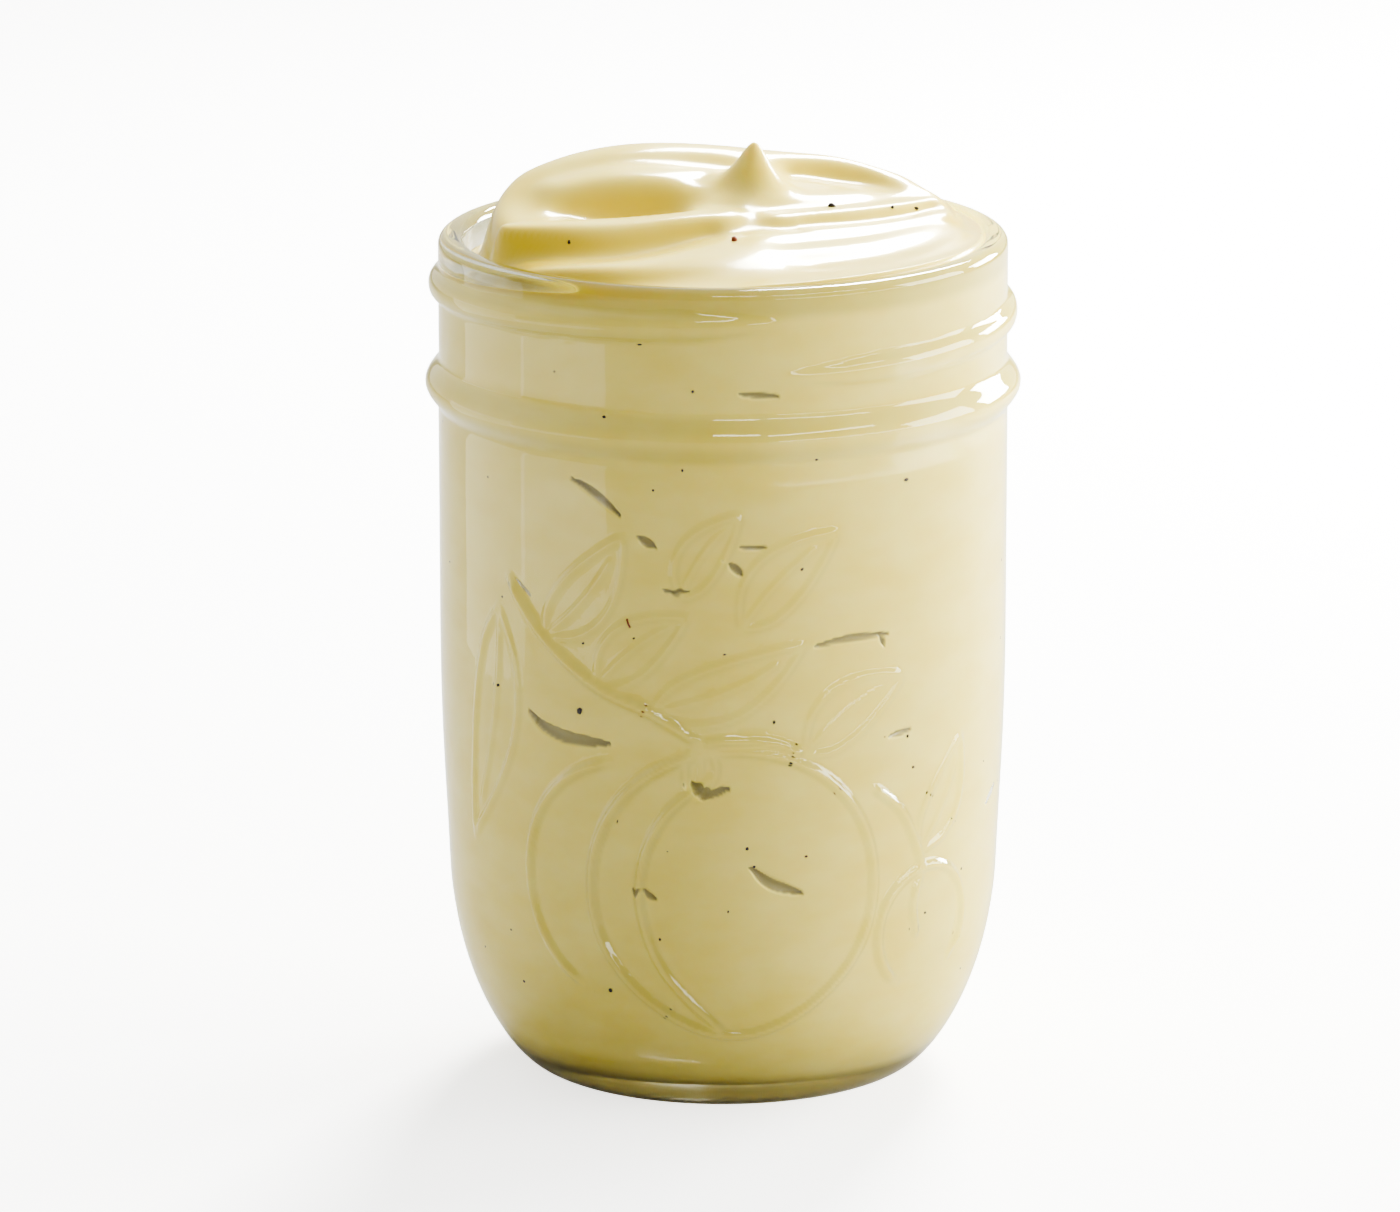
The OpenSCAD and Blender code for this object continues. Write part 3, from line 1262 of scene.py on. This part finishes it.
@dataclass
class Mayonnaise:
    """The filling behind the glass and the heap above the rim, as one skin."""

    jar: JarSizes = field(default_factory=JarSizes)
    finish: MayonnaiseFinish = field(default_factory=MayonnaiseFinish)
    columns: int = 288
    heap_rows: int = 120
    row_gap: float = 0.9
    into_wall: float = 0.15
    pocket_cuts: int = 3
    pockets_from: float = 15.0
    # painted shade in the heap's hollows and by the rim
    fold_shade_least: float = 0.05
    fold_shade_most: float = 0.82
    rim_fold_shade: float = 0.35
    heap: Heap = field(init=False)
    edge_z: float = field(init=False)
    fixed_z: float = field(init=False)

    def __post_init__(self) -> None:
        """Sets the heap on the jar's mouth."""
        self.heap = Heap(self.jar.height, self.jar.mouth_r)
        self.edge_z = self.jar.height - self.heap.edge_drop
        self.fixed_z = self.jar.neck_z

    def pockets(self) -> list[AirPocket]:
        """Air slivers, each through points of angle and height.

        Returns:
            The slivers, from the front round to the back.
        """
        return [
            AirPocket([(-33.0, 76.2), (-30.0, 75.6), (-26.0, 74.3), (-22.0, 72.6)], 0.52),
            AirPocket([(-17.8, 70.2), (-14.2, 69.1)], 0.6, 0.5),
            AirPocket([(3.3, 69.3), (9.2, 69.2)], 0.3, 0.39),
            AirPocket([(0.8, 67.5), (2.5, 66.9), (4.2, 66.0)], 0.51, 0.5),
            AirPocket([(-12.6, 64.1), (-7.3, 64.0)], 0.34, 0.44),
            AirPocket([(19.6, 57.3), (27.4, 57.8), (36.5, 57.7)], 0.43),
            AirPocket([(34.8, 57.6), (35.7, 56.4)], 0.3, 0.44),
            AirPocket([(-44.4, 47.6), (-40.4, 46.3), (-34.0, 45.5), (-24.6, 45.4)], 0.81, 0.72),
            AirPocket([(37.3, 45.4), (42.8, 45.8)], 0.39, 0.44),
            AirPocket([(-7.0, 41.3), (-3.8, 40.3), (1.0, 40.8)], 0.72, 0.66),
            AirPocket([(-18.9, 28.2), (-14.6, 27.3)], 0.51, 0.5),
            AirPocket([(6.0, 31.2), (10.1, 29.3), (16.8, 27.9)], 0.68, 0.61),
            AirPocket([(3.4, 86.7), (11.5, 86.3)], 0.39, 0.44),
            AirPocket([(-49.0, 62.6), (-44.3, 61.6)], 0.51, 0.44),
            AirPocket([(96.0, 64.0), (104.0, 62.5), (112.0, 62.0)], 0.6),
            AirPocket([(-120.0, 38.0), (-110.0, 39.5), (-103.0, 42.0)], 0.68),
            AirPocket([(150.0, 50.0), (162.0, 48.5), (170.0, 49.0)], 0.6),
            AirPocket([(-160.0, 70.0), (-151.0, 68.0)], 0.51),
            AirPocket([(128.0, 26.0), (137.0, 25.0)], 0.51),
            AirPocket([(74.0, 33.0), (80.0, 34.5)], 0.43),
        ]

    def profile(self) -> list[Point]:
        """The skin's profile before it is shaped: floor, side and a flat top.

        Returns:
            Radius and height of each corner.
        """
        s = self.jar
        wall = [(r, z) for r, z in s.inner()[::-1] if z < self.fixed_z - 3.5]
        low = [(r + self.into_wall, z - self.into_wall * (z < s.floor_t + 0.01)) for r, z in wall]
        floor = [(r, low[0][1]) for r in np.linspace(0.0, low[0][0], 9)][:-1]
        rows = round((self.edge_z - low[-1][1]) / self.row_gap)
        neck = []
        for z in np.linspace(low[-1][1], self.edge_z, rows + 1)[1:]:
            neck.append((float(s.inner_r(z)) + self.into_wall, float(z)))
        heel = self._even(low, self.row_gap)
        top = [(r, self.edge_z) for r in np.linspace(neck[-1][0], 0.0, self.heap_rows)[1:]]
        return floor + heel + neck + top

    @staticmethod
    def _even(line: list[Point], step: float) -> list[Point]:
        """Spreads corners evenly along a profile.

        Args:
            line: Corners of the profile.
            step: About how far apart the new ones stand.

        Returns:
            The new corners.
        """
        corners = np.array(line)
        reach = np.concatenate([[0.0], np.cumsum(np.linalg.norm(np.diff(corners, axis=0), axis=1))])
        places = np.linspace(0.0, reach[-1], max(2, round(reach[-1] / step)) + 1)
        return [
            (float(np.interp(p, reach, corners[:, 0])), float(np.interp(p, reach, corners[:, 1])))
            for p in places
        ]

    def pocket_share(self, angle: np.ndarray, z: np.ndarray, margin: float = 0.0) -> np.ndarray:
        """How far into a pocket points of the side lie.

        Args:
            angle: Angles round the jar.
            z: Heights above the ground.
            margin: Added to each pocket's width.

        Returns:
            Depth of the dent at each point.
        """
        per_degree = math.pi * self.jar.mouth_r / 180
        dent = np.zeros(z.shape)
        for pocket in self.pockets():
            line = smooth_line(pocket.points, 8)
            line[:, 0] *= per_degree
            gap, share = near_line(angle * per_degree, z, line)
            width = pocket.width * (0.25 + 0.75 * np.sin(math.pi * np.clip(share, 0.02, 0.98)) ** 0.7)
            form = np.clip(1 - (gap / (width + margin)) ** 2, 0.0, None)
            dent = np.maximum(dent, pocket.depth * np.sqrt(form))
        return dent

    def build(self) -> bpy.types.Object:
        """Models the mayonnaise.

        Returns:
            The finished filling and heap.
        """
        s = self.jar
        piece = turned("mayonnaise_fill", self.profile(), self.columns)
        middles = face_centres(piece)
        up = middles[:, 2]
        radii = np.hypot(middles[:, 0], middles[:, 1])
        side = (radii > s.inner_r(up) - 0.6) & (up > self.pockets_from) & (up < self.edge_z - 0.1)
        close = self.pocket_share(angle_round(middles[:, 0], middles[:, 1]), up, 0.9) > 0
        subdivide_faces(piece, side & close, self.pocket_cuts)

        rows = corners_of(piece)
        x, y, z = rows.T.copy()
        radius = np.hypot(x, y)
        top = z > self.edge_z - 1e-3
        angle = angle_round(x, y)
        level = s.height + self.heap.edge_level(x, y)
        lift = np.clip((z - self.fixed_z) / (self.edge_z - self.fixed_z), 0, 1)
        lifted = z + (level - self.edge_z) * lift
        side = ~top & (radius > s.inner_r(z) - 0.6) & (z > self.pockets_from)
        dent = np.where(side, self.pocket_share(angle, z), 0.0)
        goal = s.inner_r(lifted) + self.into_wall
        side_scale = np.where(side, (goal - dent) / np.maximum(radius, 1e-6), 1.0)
        z_new = np.where(top, self.heap.height(x, y), lifted)
        edge = top & (radius > s.mouth_r + 0.05)
        z_new = np.where(edge, level, z_new)
        rows = np.column_stack([x * side_scale, y * side_scale, z_new])
        place_corners(piece, rows)
        # painted shade: the air pockets are darkened
        write_attribute(piece, "pocket", np.clip((dent - self.into_wall) / 0.2, 0.0, 1.0))
        # painted shade in the heap's folds and hollows
        write_attribute(piece, "fold_shade", self._fold_shades(rows, top))
        finish_piece(piece, "mayonnaise", self.finish.material())
        return piece

    def _fold_shades(self, rows: np.ndarray, top: np.ndarray) -> np.ndarray:
        """How much painted shade each vertex of the heap gets, from how far the surface round it shuts it
        in.

        Args:
            rows: The skin's vertices.
            top: Which of them are on the heap.

        Returns:
            fold_shade_least on open ground to fold_shade_most in the deepest hollow, and more by the rim,
            all as painted shade.
        """
        x, y, z = rows[top].T
        shut_in = np.zeros(len(x))
        ways = 12
        for i in range(ways):
            turn = 2 * math.pi * i / ways
            steepest = np.zeros(len(x))
            for reach in (1.2, 2.4, 4.0, 5.5):
                away_x, away_y = x + reach * math.cos(turn), y + reach * math.sin(turn)
                open_side = np.hypot(away_x, away_y) > self.jar.mouth_r - 1.0
                rise = np.where(open_side, 0.0, self.heap.height(away_x, away_y) - z)
                steepest = np.maximum(steepest, rise / reach)
            shut_in += np.arctan(steepest) / ways
        # the tip stands free, so its own slopes don't count as walls round it
        off_tip = np.hypot(x - self.heap.tip[0], y - self.heap.tip[1])
        shut_in *= 1 - 0.85 * np.exp(-((off_tip / 5.0) ** 2))
        # painted shade by the rim, as if the glass's edge shaded the mayonnaise
        by_rim = self.rim_fold_shade * ease(self.jar.mouth_r - 14, self.jar.mouth_r - 2, np.hypot(x, y))
        deepened = self.fold_shade_least + by_rim + (shut_in - 0.07) / 0.36
        folds = np.zeros(len(rows))
        folds[top] = np.clip(deepened, self.fold_shade_least, self.fold_shade_most)
        return folds


@dataclass
class Specks:
    """Ground spice of one kind, joined into one piece."""

    kind: SpeckKind
    mayonnaise: Mayonnaise
    on_side: Sequence[Point]
    on_heap: Sequence[Point]
    scattered: int
    seed: int

    def build(self) -> bpy.types.Object:
        """Models the specks.

        Returns:
            One piece that holds them all.
        """
        draw = np.random.default_rng(self.seed)
        places = [self._side_place(*spot) for spot in self.on_side]
        places += [self._heap_place(*spot) for spot in self.on_heap]
        for _ in range(self.scattered):
            around, up, size = draw.uniform(-180, 180), draw.uniform(9, 96), draw.uniform(0.12, 0.22)
            places.append(self._side_place(around, up, size))
        grains = []
        for place, size in places:
            deselect_all()
            bpy.ops.mesh.primitive_ico_sphere_add(subdivisions=2, radius=size, location=place)
            grain = bpy.context.object
            with editing(grain):
                bpy.ops.transform.resize(value=tuple(draw.uniform(0.6, 1.25, 3)))
                bpy.ops.transform.vertex_random(offset=size * 0.25, seed=int(draw.integers(1, 9999)))
            grains.append(grain)
        deselect_all()
        for grain in grains:
            grain.select_set(True)
        bpy.context.view_layer.objects.active = grains[0]
        bpy.ops.object.join()
        piece = bpy.context.object
        piece.name = f"{self.kind.value}_specks"
        make_active(piece)
        bpy.ops.object.transform_apply(location=True, rotation=True, scale=True)
        finish_piece(piece, None, SPECK_FINISHES[self.kind].material(piece.name))
        return piece

    def _side_place(self, angle: float, z: float, size: float) -> tuple[Point, float]:
        """Where a speck at an angle and a height shows through the glass.

        Args:
            angle: Angle round the jar.
            z: Height above the ground.
            size: Its radius.

        Returns:
            The speck's place and radius.
        """
        jar = self.mayonnaise.jar
        radius = float(jar.inner_r(z)) + self.mayonnaise.into_wall - size * 0.2
        turn = math.radians(angle)
        return (radius * math.sin(turn), -radius * math.cos(turn), z), size

    def _heap_place(self, x: float, y: float, size: float) -> tuple[Point, float]:
        """Where a speck lies on the heap.

        Args:
            x: Place across the mouth.
            y: Place from front to back.
            size: Its radius.

        Returns:
            The speck's place and radius.
        """
        z = float(self.mayonnaise.heap.height(np.array([x]), np.array([y]))[0])
        return (x, y, z), size


# --- The studio ---------------------------------------------------------------------------------


DAYLIGHT: Colour = (1.0, 0.99, 0.96)
SKYLIGHT: Colour = (0.96, 0.98, 1.0)


@dataclass(frozen=True)
class SoftLight:
    """A rectangular studio light."""

    name: str
    place: Point
    aim: Point
    width: float
    height: float
    power: float
    colour: Colour = (1.0, 1.0, 1.0)

    def build(self) -> None:
        """Hangs the light."""
        deselect_all()
        bpy.ops.object.light_add(type="AREA", location=[c * MM for c in self.place])
        lamp = bpy.context.object
        lamp.name = self.name
        lamp.data.shape = "RECTANGLE"
        lamp.data.size = self.width * MM
        lamp.data.size_y = self.height * MM
        lamp.data.energy = self.power
        lamp.data.color = self.colour
        way = lamp.location.copy()
        way.x, way.y, way.z = (a - p for a, p in zip(self.aim, self.place))
        lamp.rotation_euler = way.to_track_quat("-Z", "Y").to_euler()


@dataclass
class Studio:
    """Camera, floor, sky and lights."""

    camera_at: Point = (0.0, -1000.0, 306.9)
    camera_aim: Point = (0.0, 0.0, 50.0)
    lens: float = 225.1
    shift: Point = (-0.0164286, 0.0264286)
    floor_half: float = 6000.0
    sky_front: float = 0.15
    sky_back: float = 0.95
    lights: Sequence[SoftLight] = (
        SoftLight("right_window", (880.0, 60.0, 330.0), (0.0, 0.0, 60.0), 560.0, 420.0, 8.0, DAYLIGHT),
        SoftLight("high_window", (160.0, 640.0, 690.0), (0.0, 0.0, 90.0), 220.0, 430.0, 15.0, DAYLIGHT),
        SoftLight("low_window", (579.0, 522.0, 270.0), (0.0, 0.0, 90.0), 320.0, 220.0, 8.0, SKYLIGHT),
        SoftLight("right_strip", (500.0, -410.0, 150.0), (0.0, 0.0, 60.0), 760.0, 50.0, 0.8),
        SoftLight("front_lamp", (60.0, -560.0, 640.0), (0.0, 0.0, 50.0), 210.0, 80.0, 0.65),
        SoftLight("ring_strip", (430.0, -440.0, 640.0), (0.0, 0.0, 60.0), 560.0, 60.0, 1.2),
        SoftLight("left_card", (-208.0, 42.0, 50.0), (0.0, 0.0, 50.0), 150.0, 110.0, 0.046),
        SoftLight("low_card", (-190.0, -92.0, 30.0), (0.0, 0.0, 60.0), 150.0, 44.0, 0.022),
    )

    def build(self) -> None:
        """Sets up the whole studio."""
        self._camera()
        self._floor()
        self._world()
        for light in self.lights:
            light.build()
        view = bpy.context.scene.view_settings
        view.view_transform = "AgX"
        view.look = "AgX - High Contrast"

    def _camera(self) -> None:
        """Stands the camera where it looks down on the jar."""
        deselect_all()
        bpy.ops.object.camera_add(location=[c * MM for c in self.camera_at])
        camera = bpy.context.object
        camera.data.sensor_width = 36.0
        camera.data.lens = self.lens
        camera.data.shift_x, camera.data.shift_y = self.shift
        camera.data.clip_start, camera.data.clip_end = 0.01, 50.0
        way = camera.location.copy()
        way.x, way.y, way.z = (a - p for a, p in zip(self.camera_aim, self.camera_at))
        camera.rotation_euler = way.to_track_quat("-Z", "Y").to_euler()
        bpy.context.scene.camera = camera

    def _floor(self) -> None:
        """Lays the white paper."""
        deselect_all()
        bpy.ops.mesh.primitive_plane_add(size=2 * self.floor_half * MM)
        floor = bpy.context.object
        floor.name = "studio_floor"
        floor.data.materials.append(FloorFinish().material())

    def _world(self) -> None:
        """Lights the sky, more from the back and from above than from the front."""
        world = bpy.data.worlds.new("studio_sky")
        bpy.context.scene.world = world
        book = NodeBook(world)
        way = book.node("ShaderNodeTexCoord", {}, {}, "Generated")
        parts = book.node("ShaderNodeSeparateXYZ", {}, {0: way}, "Y")
        share = book.ramp(parts * 0.5 + 0.5, [(0.25, 0.0), (0.6, 1.0)])
        strength = share * (self.sky_back - self.sky_front) + self.sky_front
        white = (1.0, 1.0, 1.0, 1.0)
        glow = book.node("ShaderNodeBackground", {}, {"Color": white, "Strength": strength})
        book.node("ShaderNodeOutputWorld", {}, {"Surface": glow})


# Specks given one by one: angle, height and radius on the side, and x, y and radius on the heap.
PEPPER_ON_SIDE = (
    (-31.3, 48.9, 0.42), (-6.3, 87.4, 0.25), (41.3, 75.5, 0.32), (14.6, 44.2, 0.28), (15.2, 45.4, 0.24),
    (10.7, 48.6, 0.2), (-26.0, 15.6, 0.26), (-14.6, 75.8, 0.2), (0.4, 56.7, 0.2), (-13.8, 22.4, 0.2),
    (1.1, 26.0, 0.2), (-25.6, 83.1, 0.2), (-17.6, 93.0, 0.24), (17.9, 32.3, 0.22), (5.1, 33.6, 0.18),
    (-8.5, 78.3, 0.18),
)
PEPPER_ON_HEAP = (
    (12.6, -3.4, 0.4), (-17.7, -14.0, 0.25), (19.7, -1.6, 0.25), (22.5, 0.4, 0.25), (-23.6, -17.0, 0.25),
)
PAPRIKA_ON_SIDE = ((25.0, 40.0, 0.2), (-20.0, 60.0, 0.18))
PAPRIKA_ON_HEAP = ((1.3, -15.2, 0.42),)


def main() -> None:
    """Builds the studio, the glass, the mayonnaise and its specks, and reports each piece."""
    logging.basicConfig(level=logging.INFO, format="%(message)s")
    LOG.info("the frame holds %d nodes", len(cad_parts))
    Studio().build()
    filling = Mayonnaise()
    makers = (
        GlassJar(),
        filling,
        Specks(SpeckKind.PEPPER, filling, PEPPER_ON_SIDE, PEPPER_ON_HEAP, 70, 11),
        Specks(SpeckKind.PAPRIKA, filling, PAPRIKA_ON_SIDE, PAPRIKA_ON_HEAP, 16, 12),
    )
    for maker in makers:
        piece = maker.build()
        piece.data.calc_loop_triangles()
        LOG.info("%s: %d triangles", piece.name, len(piece.data.loop_triangles))


if __name__ == "__main__":
    main()
